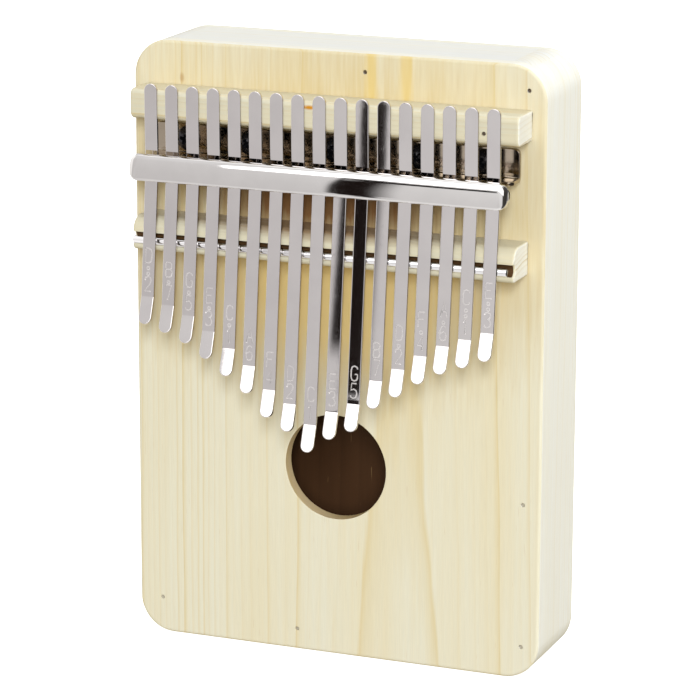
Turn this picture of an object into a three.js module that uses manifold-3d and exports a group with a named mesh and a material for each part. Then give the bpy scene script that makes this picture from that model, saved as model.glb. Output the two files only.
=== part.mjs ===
// A box kalimba (thumb piano) with seventeen keys: a hollow pine box, standing on its lower end,
// and seventeen spring-steel tines clamped between a press bar and two wooden rests.
//
// Millimetres. +Z runs up the instrument, the player's side faces -Y, and the origin is the middle
// of the box's lower end face. "Height" below means distance in front of the soundboard.

import * as THREE from "three";
import { mergeVertices } from "three/addons/utils/BufferGeometryUtils.js";
import Module from "manifold-3d";

const wasm = await Module();
wasm.setup();

// ---- Driving dimensions -------------------------------------------------------------------

const BOX = { width: 130, height: 185, depth: 32, corner: 11 };
const PANEL_THICK = 4.5;
const RAIL_THICK = 12;
const SOUND_HOLE = { z: 59, radius: 16.2 };

const FRONT = -BOX.depth / 2;
const BACK = BOX.depth / 2;
const INNER_FRONT = FRONT + PANEL_THICK;
const INNER_BACK = BACK - PANEL_THICK;

// A pine block inside the box, between the side rails, that the clamp is screwed to.
const BLOCK = { low: 143, high: 165, depth: 12 };

const REST_BAR = { length: 121.5, low: 163, high: 172, height: 12.3, edge: 1.8 };
const BRIDGE = { length: 120, low: 123.6, high: 133.6, height: 13, edge: 1.5, crown: 4.5 };
const ROD = { length: 118, middle: -0.6, z: 126.8, height: 13.1, radius: 1.2 };

const BRACKET = { length: 115, low: 150.8, high: 160.6, thick: 1.2, lip: 7.5, corner: 1.6 };
const PRESS_BAR = {
  length: 118,
  low: 145.6,
  high: 153.4,
  ridgeLow: 148.2,
  ridgeHigh: 150.8,
  ridgeHeight: 13.7,
  underside: 14.1,
  front: 18.2,
  edge: 1,
  crown: 2.2,
  corner: 2.8,
};

const TINE = { pitch: 6.7, width: 4.1, thick: 0.9, top: 174, tipLength: 8, tipBend: 14 };
// Length from the rod to the tip, key by key from the left: each sets its key's note.
const FREE_LENGTHS = [
  24.5, 26.5, 29, 33, 37.5, 42, 48.5, 52, 57.5, 53, 50, 42.5, 38.5, 34, 30.5, 28, 25.5,
];
// The underside of every tine: flat over the rest bar, lowest at the press bar, then rising
// over the rod in a straight line to the tip's bend.
const REST_CLEARANCE = 0.05;
const PRESSED = { z: 149.5, height: 12.05 };

const BORE_CLEARANCE = 0.3;
// Press screws come from inside the box and stand in the gaps to the right of these keys.
const PRESS_SCREW = { z: 148.8, radius: 1, end: 16.2, headRadius: 2.3, headThick: 1.8 };
const PRESS_SCREW_KEYS = [2, 6, 11, 15];
// Button-headed wood screws fix the bracket, each under one of these keys.
const BRACKET_SCREW = { z: 156.2, radius: 1.5, length: 13, point: 4, headRadius: 3.8, head: 3 };
const BRACKET_SCREW_KEYS = [2, 5, 9, 13, 16];

const BRAD = { radius: 0.55, length: 15, point: 2, sunk: 0.3 };
const BRAD_INSET = 5.5;
// [x, z] of each brad.
const FRONT_BRADS = [
  [9, BOX.height - BRAD_INSET],
  [BOX.width / 2 - BRAD_INSET, BOX.height - 7.5],
  [BOX.width / 2 - BRAD_INSET, 54],
  [BOX.width / 2 - BRAD_INSET, 10],
  [-BOX.width / 2 + 7.5, 11],
  [-12.5, BRAD_INSET + 1],
];
const BACK_BRADS = [
  [-BOX.width / 2 + BRAD_INSET, BOX.height - 12],
  [BOX.width / 2 - BRAD_INSET, BOX.height - 12],
  [-BOX.width / 2 + BRAD_INSET, BOX.height / 2],
  [BOX.width / 2 - BRAD_INSET, BOX.height / 2],
  [-BOX.width / 2 + BRAD_INSET, 12],
  [BOX.width / 2 - BRAD_INSET, 12],
];
// Counted in key pitches from the middle: one brad sits under the second key, the other in a gap.
const REST_BAR_BRAD_PITCHES = [-7, 7.5];
const REST_BAR_BRAD_Z = 166.5;

// Further in front of the soundboard than anything reaches.
const REACH = 30;

const CORNER_STEPS = 5;
const EDGE_STEPS = 2;
const TIP_STEPS = 3;
const ROUND_SIDES = 16;
const BRAD_SIDES = 8;
const HOLE_SIDES = 72;

// ---- Materials ----------------------------------------------------------------------------

const pine = new THREE.MeshStandardMaterial({ color: 0xe8dfc0, roughness: 0.6, metalness: 0 });
const palePine = new THREE.MeshStandardMaterial({ color: 0xf0ead2, roughness: 0.6, metalness: 0 });
const nickel = new THREE.MeshStandardMaterial({ color: 0xb9b2b8, roughness: 0.16, metalness: 1 });
const chrome = new THREE.MeshStandardMaterial({ color: 0xdcdcde, roughness: 0.08, metalness: 1 });
const blackSteel = new THREE.MeshStandardMaterial({ color: 0x1c1b1d, roughness: 0.4, metalness: 0.8 });
const screwSteel = new THREE.MeshStandardMaterial({ color: 0x9a9a9c, roughness: 0.3, metalness: 1 });
const bradSteel = new THREE.MeshStandardMaterial({ color: 0x4a4034, roughness: 0.6, metalness: 0.7 });

// ---- Solids -------------------------------------------------------------------------------

// A closed geometry as a solid that can be joined and cut.
function solid(geometry) {
  geometry.deleteAttribute("normal");
  geometry.deleteAttribute("uv");
  const merged = mergeVertices(geometry, 1e-4);
  return new wasm.Manifold(
    new wasm.Mesh({
      numProp: 3,
      vertProperties: merged.attributes.position.array,
      triVerts: new Uint32Array(merged.index.array),
    }),
  );
}

// A named mesh of a solid.
function meshOf(name, body, material) {
  const cut = body.getMesh();
  const geometry = new THREE.BufferGeometry();
  geometry.setAttribute("position", new THREE.BufferAttribute(cut.vertProperties, 3));
  geometry.setIndex(new THREE.BufferAttribute(cut.triVerts, 1));
  geometry.computeVertexNormals();
  const mesh = new THREE.Mesh(geometry, material);
  mesh.name = name;
  return mesh;
}

// A closed outline through corners [a, b, radius], with a true arc at each rounded corner.
function outline(corners) {
  const shape = new THREE.Shape();
  corners.forEach(([a, b, radius = 0], i) => {
    const here = new THREE.Vector2(a, b);
    const before = new THREE.Vector2(...corners.at(i - 1)).sub(here).normalize();
    const after = new THREE.Vector2(...corners[(i + 1) % corners.length]).sub(here).normalize();
    if (!radius) {
      if (i) shape.lineTo(a, b);
      else shape.moveTo(a, b);
      return;
    }
    const half = Math.acos(before.dot(after)) / 2;
    const start = before.clone().multiplyScalar(radius / Math.tan(half));
    const end = after.clone().multiplyScalar(radius / Math.tan(half));
    const centre = before.clone().add(after).setLength(radius / Math.sin(half));
    if (!i) shape.moveTo(a + start.x, b + start.y);
    shape.absarc(
      a + centre.x,
      b + centre.y,
      radius,
      start.sub(centre).angle(),
      end.sub(centre).angle(),
      after.cross(before) < 0,
    );
  });
  return shape;
}

// A rectangle's outline with one radius at all its corners.
function rectangle(left, low, right, high, radius) {
  return outline([
    [left, low, radius],
    [right, low, radius],
    [right, high, radius],
    [left, high, radius],
  ]);
}

// An outline drawn in X and Z, as a solid from one Y to another.
function frontal(shape, from, to, steps = CORNER_STEPS) {
  const geometry = new THREE.ExtrudeGeometry(shape, {
    depth: to - from,
    bevelEnabled: false,
    curveSegments: steps,
  });
  geometry.rotateX(Math.PI / 2);
  geometry.translate(0, to, 0);
  return solid(geometry);
}

// A section drawn in height and Z, as a solid of the given length across the instrument.
function lengthwise(shape, length, middle = 0, steps = EDGE_STEPS) {
  const geometry = new THREE.ExtrudeGeometry(shape, {
    depth: length,
    bevelEnabled: false,
    curveSegments: steps,
  });
  const heightAxis = new THREE.Vector3(0, -1, 0);
  const upAxis = new THREE.Vector3(0, 0, 1);
  const alongAxis = new THREE.Vector3(-1, 0, 0);
  geometry.applyMatrix4(new THREE.Matrix4().makeBasis(heightAxis, upAxis, alongAxis));
  geometry.translate(middle + length / 2, FRONT, 0);
  return solid(geometry);
}

// A round bar or bore along Y.
function peg(x, z, radius, from, to, sides = ROUND_SIDES) {
  const geometry = new THREE.CylinderGeometry(radius, radius, to - from, sides);
  geometry.translate(x, (from + to) / 2, z);
  return solid(geometry);
}

// A body with round bores cut out of it.
function bored(body, bores) {
  return bores.reduce((left, bore) => left.subtract(bore), body);
}

// A turned body along Y: its outline is [radius, distance] pairs, with distances measured from
// the point (x, y, z) towards +Y (way 1) or -Y (way -1).
function turned(x, y, z, way, pairs, sides = ROUND_SIDES) {
  const points = pairs.map(([radius, along]) => new THREE.Vector2(radius, along));
  const geometry = new THREE.LatheGeometry(points, sides);
  if (way < 0) geometry.rotateX(Math.PI);
  geometry.translate(x, y, z);
  return solid(geometry);
}

// ---- Places -------------------------------------------------------------------------------

const KEY_COUNT = FREE_LENGTHS.length;
const keyX = (key) => (key - (KEY_COUNT + 1) / 2) * TINE.pitch;
const gapX = (key) => keyX(key) + TINE.pitch / 2;

const boresAt = (places, radius, from, to) =>
  places.map(([x, z]) => peg(x, z, radius + BORE_CLEARANCE, from, to));

const pressScrewPlaces = PRESS_SCREW_KEYS.map((key) => [gapX(key), PRESS_SCREW.z]);
const pressScrewBores = (from, to) => boresAt(pressScrewPlaces, PRESS_SCREW.radius, from, to);

const bracketScrewPlaces = BRACKET_SCREW_KEYS.map((key) => [keyX(key), BRACKET_SCREW.z]);
const bracketScrewBores = (from, to) =>
  boresAt(bracketScrewPlaces, BRACKET_SCREW.radius, from, to);

const bradBores = (places, from, to) => boresAt(places, BRAD.radius, from, to);

const restBarBrads = REST_BAR_BRAD_PITCHES.map((n) => [n * TINE.pitch, REST_BAR_BRAD_Z]);
// How far a bore or a trimming outline runs past the body that it cuts.
const PAST = 1;
const bracketScrewEnd = FRONT - BRACKET.thick + BRACKET_SCREW.length;
const frontBradEnd = FRONT + BRAD.sunk + BRAD.length;
const backBradEnd = BACK - BRAD.sunk - BRAD.length;
const restBarBradEnd = FRONT - REST_BAR.height + BRAD.sunk + BRAD.length;

// ---- The box ------------------------------------------------------------------------------

function boxOutline() {
  return rectangle(-BOX.width / 2, 0, BOX.width / 2, BOX.height, BOX.corner);
}

function soundboard() {
  const board = frontal(boxOutline(), FRONT, INNER_FRONT);
  return bored(board, [
    peg(0, SOUND_HOLE.z, SOUND_HOLE.radius, FRONT - PAST, INNER_FRONT + PAST, HOLE_SIDES),
    ...pressScrewBores(FRONT - PAST, INNER_FRONT + PAST),
    ...bracketScrewBores(FRONT - PAST, INNER_FRONT + PAST),
    ...bradBores(FRONT_BRADS, FRONT - PAST, INNER_FRONT + PAST),
    ...bradBores(restBarBrads, FRONT - PAST, restBarBradEnd + BORE_CLEARANCE),
  ]);
}

function backPanel() {
  const board = frontal(boxOutline(), INNER_BACK, BACK);
  return bored(board, bradBores(BACK_BRADS, INNER_BACK - PAST, BACK + PAST));
}

// The brads reach into the rails from both panels.
function railBores() {
  return [
    ...bradBores(FRONT_BRADS, INNER_FRONT - PAST, frontBradEnd + BORE_CLEARANCE),
    ...bradBores(BACK_BRADS, backBradEnd - BORE_CLEARANCE, INNER_BACK + PAST),
  ];
}

// side is -1 for the left rail and 1 for the right one.
function sideRail(side) {
  const inner = BOX.width / 2 - RAIL_THICK;
  const outer = BOX.width / 2;
  const corners = [
    [side * inner, 0],
    [side * outer, 0, BOX.corner],
    [side * outer, BOX.height, BOX.corner],
    [side * inner, BOX.height],
  ];
  if (side < 0) corners.reverse();
  return bored(frontal(outline(corners), INNER_FRONT, INNER_BACK), railBores());
}

function endRail(low) {
  const inner = BOX.width / 2 - RAIL_THICK;
  const shape = rectangle(-inner, low, inner, low + RAIL_THICK, 0);
  return bored(frontal(shape, INNER_FRONT, INNER_BACK), railBores());
}

function clampBlock() {
  const inner = BOX.width / 2 - RAIL_THICK;
  const blockBack = INNER_FRONT + BLOCK.depth;
  const block = frontal(rectangle(-inner, BLOCK.low, inner, BLOCK.high, 0), INNER_FRONT, blockBack);
  return bored(block, [
    ...pressScrewBores(INNER_FRONT - PAST, blockBack + PAST),
    ...bracketScrewBores(INNER_FRONT - PAST, bracketScrewEnd + BORE_CLEARANCE),
  ]);
}

// ---- Wooden rests and the rod --------------------------------------------------------------

function restBar() {
  const section = outline([
    [0, REST_BAR.low],
    [REST_BAR.height, REST_BAR.low, REST_BAR.edge],
    [REST_BAR.height, REST_BAR.high, REST_BAR.edge],
    [0, REST_BAR.high],
  ]);
  const bores = bradBores(restBarBrads, FRONT - REST_BAR.height - PAST, FRONT + PAST);
  return bored(lengthwise(section, REST_BAR.length), bores);
}

function rodSolid(radius, length) {
  const circle = new THREE.Shape().absarc(ROD.height, ROD.z, radius, 0, 2 * Math.PI);
  return lengthwise(circle, length, ROD.middle, ROUND_SIDES / 2);
}

// The bridge carries the rod in a groove that runs out at both ends.
function bridgeBar() {
  const section = outline([
    [0, BRIDGE.low],
    [BRIDGE.height, BRIDGE.low, BRIDGE.edge],
    [BRIDGE.height, BRIDGE.high, BRIDGE.crown],
    [0, BRIDGE.high],
  ]);
  const grooveClearance = 0.1;
  const groove = rodSolid(ROD.radius + grooveClearance, BRIDGE.length + 4 * PAST);
  return lengthwise(section, BRIDGE.length).subtract(groove);
}

// ---- The clamp -----------------------------------------------------------------------------

// A bent plate: its floor lies on the soundboard, and its lip stands up at the lower edge.
function bracket() {
  const inside = BRACKET.thick / 2;
  const rim = BRACKET.thick / 3;
  const section = outline([
    [0, BRACKET.low, BRACKET.thick + inside],
    [BRACKET.lip, BRACKET.low, rim],
    [BRACKET.lip, BRACKET.low + BRACKET.thick, rim],
    [BRACKET.thick, BRACKET.low + BRACKET.thick, inside],
    [BRACKET.thick, BRACKET.high],
    [0, BRACKET.high],
  ]);
  const half = BRACKET.length / 2;
  const plan = rectangle(-half, BRACKET.low - PAST, half, BRACKET.high, BRACKET.corner);
  const trimmed = lengthwise(section, BRACKET.length).intersect(
    frontal(plan, FRONT - REACH, FRONT + PAST, EDGE_STEPS),
  );
  return bored(trimmed, bracketScrewBores(FRONT - BRACKET.thick - PAST, FRONT + PAST));
}

// A solid bar with a low ridge below, a crowned upper edge and round ends.
function pressBar() {
  const section = outline([
    [PRESS_BAR.ridgeHeight, PRESS_BAR.ridgeLow],
    [PRESS_BAR.underside, PRESS_BAR.low],
    [PRESS_BAR.front, PRESS_BAR.low, PRESS_BAR.edge],
    [PRESS_BAR.front, PRESS_BAR.high, PRESS_BAR.crown],
    [PRESS_BAR.underside, PRESS_BAR.high],
    [PRESS_BAR.ridgeHeight, PRESS_BAR.ridgeHigh],
  ]);
  const half = PRESS_BAR.length / 2;
  const plan = rectangle(-half, PRESS_BAR.low, half, PRESS_BAR.high, PRESS_BAR.corner);
  const trimmed = lengthwise(section, PRESS_BAR.length).intersect(
    frontal(plan, FRONT - REACH, FRONT, EDGE_STEPS),
  );
  const boreEnd = FRONT - PRESS_SCREW.end - BORE_CLEARANCE;
  return bored(trimmed, pressScrewBores(boreEnd, FRONT - PRESS_BAR.ridgeHeight + PAST));
}

// A press screw, from its head behind the clamp block to its end in the press bar.
function pressScrew([x, z]) {
  const { radius, headRadius, headThick } = PRESS_SCREW;
  const length = BLOCK.depth + PANEL_THICK + PRESS_SCREW.end;
  return turned(x, INNER_FRONT + BLOCK.depth, z, -1, [
    [0, -headThick],
    [headRadius, -headThick],
    [headRadius, 0],
    [radius, 0],
    [radius, length - radius / 2],
    [radius / 2, length],
    [0, length],
  ]);
}

// A bracket screw: a domed head on the bracket's floor, and a shank that ends in a point.
function bracketScrew([x, z]) {
  const { radius, headRadius, head, length, point } = BRACKET_SCREW;
  return turned(x, FRONT - BRACKET.thick, z, 1, [
    [0, -head],
    [0.55 * headRadius, -0.9 * head],
    [0.85 * headRadius, -0.62 * head],
    [headRadius, -0.25 * head],
    [headRadius, 0],
    [radius, 0],
    [radius, length - point],
    [0, length],
  ]);
}

// A brad nail, pointing in the given way from a wooden surface at the given Y, with its flat
// head sunk below that surface.
function brad([x, z], surface, way) {
  const pairs = [
    [0, 0],
    [BRAD.radius, 0],
    [BRAD.radius, BRAD.length - BRAD.point],
    [0, BRAD.length],
  ];
  return turned(x, surface + way * BRAD.sunk, z, way, pairs, BRAD_SIDES);
}

// ---- The tines -----------------------------------------------------------------------------

// A tine is a strip that follows its underside line, with a half-round end above and below.
function tine(key) {
  const rodCrest = ROD.height + ROD.radius + REST_CLEARANCE;
  const slope = (rodCrest - PRESSED.height) / (PRESSED.z - ROD.z);
  const tipSlope = Math.tan(Math.atan(slope) + THREE.MathUtils.degToRad(TINE.tipBend));
  const tipZ = ROD.z - FREE_LENGTHS[key - 1];
  const bendZ = tipZ + TINE.tipLength;
  const bendHeight = PRESSED.height + (PRESSED.z - bendZ) * slope;
  const restHeight = REST_BAR.height + REST_CLEARANCE;
  const line = [
    [restHeight, TINE.top],
    [restHeight, REST_BAR.low],
    [PRESSED.height, PRESSED.z],
    [bendHeight, bendZ],
    [bendHeight + TINE.tipLength * tipSlope, tipZ],
  ];
  const upper = line.map(([height, z]) => [height + TINE.thick, z]);
  const section = outline([...line, ...upper.reverse()]);
  const half = TINE.width / 2;
  const x = keyX(key);
  const plan = rectangle(x - half, tipZ, x + half, TINE.top, half - 1e-3);
  return lengthwise(section, TINE.width, x).intersect(frontal(plan, FRONT - REACH, FRONT, TIP_STEPS));
}

// ---- Assembly ------------------------------------------------------------------------------

const kalimba = new THREE.Group();

const box = new THREE.Group();
box.add(meshOf("soundboard", soundboard(), pine));
box.add(meshOf("back_panel", backPanel(), pine));
box.add(meshOf("side_rail_left", sideRail(-1), palePine));
box.add(meshOf("side_rail_right", sideRail(1), palePine));
box.add(meshOf("top_rail", endRail(BOX.height - RAIL_THICK), palePine));
box.add(meshOf("bottom_rail", endRail(0), palePine));
box.add(meshOf("clamp_block", clampBlock(), palePine));
FRONT_BRADS.forEach((place, i) => {
  box.add(meshOf(`soundboard_brad_${i + 1}`, brad(place, FRONT, 1), bradSteel));
});
BACK_BRADS.forEach((place, i) => {
  box.add(meshOf(`back_panel_brad_${i + 1}`, brad(place, BACK, -1), bradSteel));
});
kalimba.add(box);

const rests = new THREE.Group();
rests.add(meshOf("rear_rest_bar", restBar(), palePine));
restBarBrads.forEach((place, i) => {
  rests.add(meshOf(`rest_bar_brad_${i + 1}`, brad(place, FRONT - REST_BAR.height, 1), bradSteel));
});
rests.add(meshOf("bridge_bar", bridgeBar(), palePine));
rests.add(meshOf("bridge_rod", rodSolid(ROD.radius, ROD.length), chrome));
kalimba.add(rests);

const clamp = new THREE.Group();
clamp.add(meshOf("base_bracket", bracket(), chrome));
clamp.add(meshOf("press_bar", pressBar(), chrome));
pressScrewPlaces.forEach((place, i) => {
  clamp.add(meshOf(`press_screw_${i + 1}`, pressScrew(place), screwSteel));
});
bracketScrewPlaces.forEach((place, i) => {
  clamp.add(meshOf(`bracket_screw_${i + 1}`, bracketScrew(place), blackSteel));
});
kalimba.add(clamp);

const keys = new THREE.Group();
for (let key = 1; key <= KEY_COUNT; key++) {
  keys.add(meshOf(`tine_${String(key).padStart(2, "0")}`, tine(key), nickel));
}
kalimba.add(keys);

export default kalimba;
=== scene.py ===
"""A seventeen-key box kalimba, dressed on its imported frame.

Meshes are drawn in millimetres and stored in metres. X runs across the instrument, -Y faces the
player and +Z runs up it. "Height" is the distance in front of the soundboard's face.
"""

from math import atan, ceil, cos, hypot, pi, radians, sin, sqrt, tan

import bmesh
import bpy
from mathutils import Matrix, Vector
from mathutils.geometry import tessellate_polygon


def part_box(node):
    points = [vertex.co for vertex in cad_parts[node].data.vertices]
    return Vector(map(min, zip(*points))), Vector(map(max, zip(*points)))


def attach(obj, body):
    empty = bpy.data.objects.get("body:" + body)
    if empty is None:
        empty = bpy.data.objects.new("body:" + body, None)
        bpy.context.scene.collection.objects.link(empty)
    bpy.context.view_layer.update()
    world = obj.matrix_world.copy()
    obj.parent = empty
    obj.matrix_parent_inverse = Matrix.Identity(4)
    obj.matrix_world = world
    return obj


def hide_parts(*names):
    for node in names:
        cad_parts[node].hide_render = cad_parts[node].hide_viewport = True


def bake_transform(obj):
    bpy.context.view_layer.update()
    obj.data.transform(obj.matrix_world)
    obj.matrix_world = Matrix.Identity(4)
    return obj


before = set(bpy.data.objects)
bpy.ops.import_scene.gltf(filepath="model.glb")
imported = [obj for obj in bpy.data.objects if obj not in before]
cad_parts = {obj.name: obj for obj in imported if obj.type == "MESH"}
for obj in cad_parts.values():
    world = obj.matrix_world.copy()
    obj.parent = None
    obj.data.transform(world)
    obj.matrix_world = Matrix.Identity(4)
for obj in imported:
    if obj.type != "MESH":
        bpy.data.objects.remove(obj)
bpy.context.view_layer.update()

MM = 0.001


def extent(node):
    """A CAD node's lowest and highest corners, in millimetres."""
    low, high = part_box(node)
    return Vector(low) / MM, Vector(high) / MM


# ---- Sizes, all from the frame where it has them ----

BOARD_LOW, BOARD_HIGH = extent("soundboard")
BACK_LOW, BACK_HIGH = extent("back_panel")
RAIL_LOW, RAIL_HIGH = extent("side_rail_right")
TOP_RAIL_LOW, TOP_RAIL_HIGH = extent("top_rail")
BOTTOM_RAIL_LOW, BOTTOM_RAIL_HIGH = extent("bottom_rail")
BLOCK_LOW, BLOCK_HIGH = extent("clamp_block")
REST_LOW, REST_HIGH = extent("rear_rest_bar")
BRIDGE_LOW, BRIDGE_HIGH = extent("bridge_bar")
ROD_LOW, ROD_HIGH = extent("bridge_rod")
BRACKET_LOW, BRACKET_HIGH = extent("base_bracket")
PRESS_LOW, PRESS_HIGH = extent("press_bar")

FRONT = BOARD_LOW.y
INNER_FRONT = BOARD_HIGH.y
INNER_BACK = BACK_LOW.y
BACK = BACK_HIGH.y
CORNER = 11.0
SOUND_HOLE = Vector((0, 0, 59))
SOUND_HOLE_RADIUS = 16.2
EDGE = 0.9
SEAM = 0.1
HOLE_EASE = 0.15
BRAD_HOLE = 0.62
PRESS_SCREW_HOLE = 1.15
BRACKET_SCREW_HOLE = 1.6

ROD_Z = (ROD_LOW.z + ROD_HIGH.z) / 2
ROD_RADIUS = (ROD_HIGH.z - ROD_LOW.z) / 2
ROD_HEIGHT = FRONT - (ROD_LOW.y + ROD_HIGH.y) / 2

BRACKET_THICK = 1.2
BRACKET_CORNER = 1.8
BRACKET_EASE = 0.3
BRACKET_HOLE = 1.75
BRACKET_SCREW_CROSS = 1.9
TINE_THICK = 0.9
TINE_EASE = 0.16
PRESSED_Z = 149.5
PRESSED_HEIGHT = 12.05
REST_HEIGHT = FRONT - REST_LOW.y
REST_CURVE, PRESS_CURVE, TIP_CURVE = 450, 24, 2.2
TIP_LENGTH = 8.0
TIP_SPARE = 0.15
TIP_BEND = radians(14)
CLEARANCE = 0.02


def centres(prefix, count):
    """The centres of CAD nodes numbered from 1 to count, in millimetres."""
    corners = [extent(f"{prefix}_{i}") for i in range(1, count + 1)]
    return [(low + high) / 2 for low, high in corners]


FRONT_BRADS = centres("soundboard_brad", 6)
BACK_BRADS = centres("back_panel_brad", 6)
REST_BRADS = centres("rest_bar_brad", 2)
PRESS_SCREWS = centres("press_screw", 4)
BRACKET_SCREWS = centres("bracket_screw", 5)


# ---- Mesh tools ----

WELD = 1e-5
MARK_WELD = 1e-4


def linked(name, data):
    """A new object, in the scene."""
    made = bpy.data.objects.new(name, data)
    bpy.context.scene.collection.objects.link(made)
    return made


def repair(mesh, weld=WELD, dissolve=True):
    """Joins points closer than weld, drops faces without area and turns the others outwards."""
    work = bmesh.new()
    work.from_mesh(mesh)
    bmesh.ops.remove_doubles(work, verts=work.verts, dist=weld)
    if dissolve:
        bmesh.ops.dissolve_degenerate(work, edges=work.edges, dist=weld)
    bmesh.ops.recalc_face_normals(work, faces=work.faces)
    work.to_mesh(mesh)
    work.free()


def to_object(name, points, faces, materials, sharp=32):
    """A smooth-shaded object from points in millimetres."""
    mesh = bpy.data.meshes.new(name)
    mesh.from_pydata([tuple(p) for p in points], [], faces)
    for each in materials:
        mesh.materials.append(each)
    repair(mesh)
    made = linked(name, mesh)
    shade(mesh, sharp)
    return made


def shade(mesh, sharp):
    mesh.polygons.foreach_set("use_smooth", [True] * len(mesh.polygons))
    mesh.set_sharp_from_angle(angle=radians(sharp))
    mesh.update()


def weighted(made):
    """Normals that follow the large faces, so eased edges shade as eased edges."""
    modifier = made.modifiers.new("weighted", "WEIGHTED_NORMAL")
    modifier.keep_sharp = True
    modifier.weight = 80


def in_metres(made):
    made.data.transform(Matrix.Scale(MM, 4))
    made.data.update()
    return made


def place(made, body, node):
    """The piece rides on a body and stands for a CAD node."""
    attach(made, body)
    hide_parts(node)


def finish_wood(made, node):
    """Readies a wooden piece, which rides on the box."""
    in_metres(made)
    weighted(made)
    place(made, "box", node)


def applied(made):
    """A new mesh of the object with its modifiers or its bevel applied."""
    bpy.context.view_layer.update()
    graph = bpy.context.evaluated_depsgraph_get()
    return bpy.data.meshes.new_from_object(made.evaluated_get(graph))


def cut(made, cutters, self_touching=False):
    """Takes each cutter out of the mesh. All are in millimetres, and the cutters go away."""
    for cutter in cutters:
        modifier = made.modifiers.new("cut", "BOOLEAN")
        modifier.operation = "DIFFERENCE"
        modifier.solver = "EXACT"
        modifier.use_self = self_touching
        modifier.material_mode = "TRANSFER"
        modifier.object = cutter
    result = applied(made)
    made.modifiers.clear()
    old = made.data
    made.data = result
    bpy.data.meshes.remove(old)
    for cutter in cutters:
        bpy.data.objects.remove(cutter)


def bridged(rings):
    """Faces that join each closed ring of point numbers to the next, all of one length."""
    faces = []
    for low, high in zip(rings, rings[1:]):
        for i in range(len(low)):
            j = (i + 1) % len(low)
            faces.append((low[i], low[j], high[j], high[i]))
    return faces


def give(made, index, test):
    """Gives one of the mesh's materials to the faces that pass the test."""
    for face in made.data.polygons:
        if test(face):
            face.material_index = index


def arc(centre, radius, start, end, steps):
    """Points on an arc, angles in degrees."""
    out = []
    for i in range(steps + 1):
        angle = radians(start + (end - start) * i / steps)
        out.append((centre[0] + radius * cos(angle), centre[1] + radius * sin(angle)))
    return out


def circles(places, radius, sides):
    """Circles in the panels' plane, around points."""
    return [arc((p.x, p.z), radius, 0, 360 - 360 / sides, sides - 1) for p in places]


def corner_arc(before, here, after, radius, steps):
    """The arc that rounds the corner at here, between the points before and after it."""
    back = (Vector(before) - here).normalized()
    ahead = (Vector(after) - here).normalized()
    half = back.angle(ahead) / 2
    start = here + back * radius / tan(half)
    centre = here + (back + ahead).normalized() * radius / sin(half)
    spoke = start - centre
    turn = pi - 2 * half
    if back.cross(ahead) > 0:
        turn = -turn
    out = []
    for i in range(steps + 1):
        c, s = cos(turn * i / steps), sin(turn * i / steps)
        out.append((centre.x + spoke.x * c - spoke.y * s, centre.y + spoke.x * s + spoke.y * c))
    return out


def rounded(corners, steps):
    """A closed outline through corners (a, b, radius), with an arc at each rounded one."""
    out = []
    for i, (a, b, radius) in enumerate(corners):
        if not radius:
            out.append((a, b))
            continue
        after = corners[(i + 1) % len(corners)]
        out += corner_arc(corners[i - 1][:2], Vector((a, b)), after[:2], radius, steps)
    return out


def rectangle(low, high, radii=(0, 0, 0, 0)):
    """A CAD box's outline from the front. radii are its corners' radii, from the lower left."""
    corners = [(low.x, low.z), (high.x, low.z), (high.x, high.z), (low.x, high.z)]
    return rounded([(a, b, radius) for (a, b), radius in zip(corners, radii)], 16)


def inset(loop, amount):
    """A counter-clockwise loop moved inwards, each point along its own normal."""
    if not amount:
        return list(loop)
    out = []
    count = len(loop)
    for i, point in enumerate(loop):
        here = Vector(point)
        before = (here - Vector(loop[i - 1])).normalized()
        after = (Vector(loop[(i + 1) % count]) - here).normalized()
        across = Vector((-before.y - after.y, before.x + after.x))
        across.normalize()
        square = max(0.4, across.dot(Vector((-before.y, before.x))))
        out.append(tuple(here + across * amount / square))
    return out


def easing(amount, steps=4, margin=0.12):
    """(inset, depth) pairs of a quarter-round edge, from the face to the side.

    The first pair is a narrow flat margin, which keeps the face's shading flat up to its edge.
    """
    out = [(amount + margin, 0.0)]
    for i in range(steps + 1):
        angle = pi / 2 * i / steps
        out.append((amount * (1 - sin(angle)), amount * (1 - cos(angle))))
    return out


def slab(name, outer, holes, start, end, ease, to_point, materials):
    """A plate with eased edges: loops in a plane, swept from start to end along the third axis.

    ease is the edge radius at (start, end) of the outer loop. Holes are counter-clockwise too.
    to_point turns (a, b, depth) into a point.
    """
    loops = [(outer, 1, ease)] + [(hole, -1, (HOLE_EASE, HOLE_EASE)) for hole in holes]
    points, faces, front, back = [], [], ([], []), ([], [])
    for loop, way, (near, far) in loops:
        stations = [(d, start + depth) for d, depth in easing(near)]
        stations += [(d, end - depth) for d, depth in reversed(easing(far))]
        rings, outlines = [], []
        for amount, depth in stations:
            ring = inset(loop, way * amount)
            rings.append(range(len(points), len(points) + len(ring)))
            outlines.append([Vector((a, b, 0)) for a, b in ring])
            points += [to_point(a, b, depth) for a, b in ring]
        faces += [quad[::way] for quad in bridged(rings)]
        for k, (edges, indices) in ((0, front), (-1, back)):
            edges.append(outlines[k])
            indices += rings[k]
    for way, (edges, indices) in ((-1, front), (1, back)):
        for triangle in tessellate_polygon(edges):
            faces.append(tuple(indices[i] for i in triangle)[::way])
    return to_object(name, points, faces, materials)


def frontal(a, b, depth):
    return (a, depth, b)


def lengthwise(a, b, depth):
    """Section drawn in height and z, swept along X."""
    return (depth, FRONT - a, b)


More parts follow.
